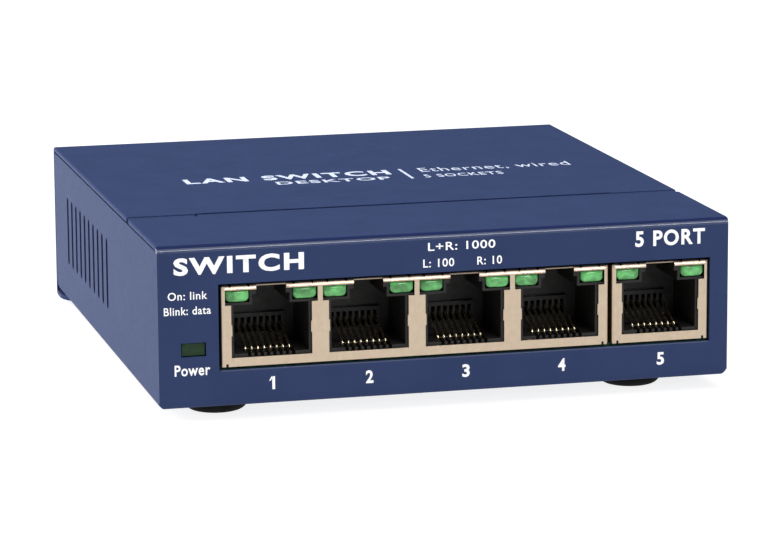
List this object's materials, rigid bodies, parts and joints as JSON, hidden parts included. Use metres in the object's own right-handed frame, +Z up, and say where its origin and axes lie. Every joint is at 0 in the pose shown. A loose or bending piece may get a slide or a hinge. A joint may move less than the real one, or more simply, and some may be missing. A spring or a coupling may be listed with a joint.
{
  "type": "desktop network switch",
  "caption": "Small desktop Ethernet switch in a folded blue sheet-steel case, with shielded modular sockets and lights along the front and a DC inlet at the back.",
  "frame": {"origin": "middle of the footprint, on the surface the feet rest on", "axes": "+X to the right seen from the sockets, +Y from the sockets to the back wall, +Z up"},
  "size_m": [0.094, 0.101, 0.0284],
  "materials": {
    "blue_paint": "satin powder coat",
    "nickel_plate": "satin tinned sheet",
    "black_plastic": "moulded",
    "gold_plate": "gilded wire",
    "green_lens": "translucent lens",
    "dark_green_lens": "unlit lens",
    "pin_plate": "plated pin",
    "foot_rubber": "matt",
    "zinc_steel": "zinc plated",
    "board_green": "solder mask",
    "moulded_black": "moulded",
    "pad_grey": "soft pad",
    "bare_aluminium": "plain"
  },
  "bodies": {
    "case": {"chassis": "blue_paint", "top_cover": "blue_paint", "jack_shield_1_to_4": "nickel_plate", "jack_shield_5": "nickel_plate", "jack_housing_1_to_4": "black_plastic", "jack_housing_5": "black_plastic", "power_jack": "black_plastic", "port_light_1_left": "green_lens", "port_light_1_right": "green_lens", "port_light_2_left": "green_lens", "port_light_2_right": "green_lens", "port_light_3_left": "green_lens", "port_light_3_right": "green_lens", "port_light_4_left": "green_lens", "port_light_4_right": "green_lens", "port_light_5_left": "green_lens", "port_light_5_right": "green_lens", "power_light": "dark_green_lens", "power_jack_pin": "pin_plate", "foot_front_left": "foot_rubber", "foot_front_right": "foot_rubber", "foot_back_left": "foot_rubber", "foot_back_right": "foot_rubber", "cover_screw_left": "zinc_steel", "cover_screw_right": "zinc_steel", "board_screw_1": "zinc_steel", "board_screw_2": "zinc_steel", "board_screw_3": "zinc_steel", "board_screw_4": "zinc_steel", "circuit_board": "board_green", "switch_chip": "moulded_black", "line_transformer_1": "moulded_black", "line_transformer_2": "moulded_black", "line_transformer_3": "moulded_black", "line_transformer_4": "moulded_black", "line_transformer_5": "moulded_black", "inductor": "moulded_black", "voltage_regulator": "moulded_black", "thermal_pad": "pad_grey", "heat_sink": "bare_aluminium", "filter_capacitor_1": "bare_aluminium", "filter_capacitor_2": "bare_aluminium", "crystal": "bare_aluminium"},
    "contacts_1": {"contact_springs_1": "gold_plate"},
    "contacts_2": {"contact_springs_2": "gold_plate"},
    "contacts_3": {"contact_springs_3": "gold_plate"},
    "contacts_4": {"contact_springs_4": "gold_plate"},
    "contacts_5": {"contact_springs_5": "gold_plate"}
  },
  "joints": [
    {"name": "contact_flex_1", "type": "hinge", "parent": "case", "child": "contacts_1", "pos_m": [-0.02876, -0.0463, 0.0104], "axis": [1, 0, 0], "range_deg": [-9, 0], "stiffness_Nm_per_rad": 0.1},
    {"name": "contact_flex_2", "type": "hinge", "parent": "case", "child": "contacts_2", "pos_m": [-0.01297, -0.0463, 0.0104], "axis": [1, 0, 0], "range_deg": [-9, 0], "stiffness_Nm_per_rad": 0.1},
    {"name": "contact_flex_3", "type": "hinge", "parent": "case", "child": "contacts_3", "pos_m": [0.00282, -0.0463, 0.0104], "axis": [1, 0, 0], "range_deg": [-9, 0], "stiffness_Nm_per_rad": 0.1},
    {"name": "contact_flex_4", "type": "hinge", "parent": "case", "child": "contacts_4", "pos_m": [0.01861, -0.0463, 0.0104], "axis": [1, 0, 0], "range_deg": [-9, 0], "stiffness_Nm_per_rad": 0.1},
    {"name": "contact_flex_5", "type": "hinge", "parent": "case", "child": "contacts_5", "pos_m": [0.03556, -0.0463, 0.0104], "axis": [1, 0, 0], "range_deg": [-9, 0], "stiffness_Nm_per_rad": 0.1}
  ]
}
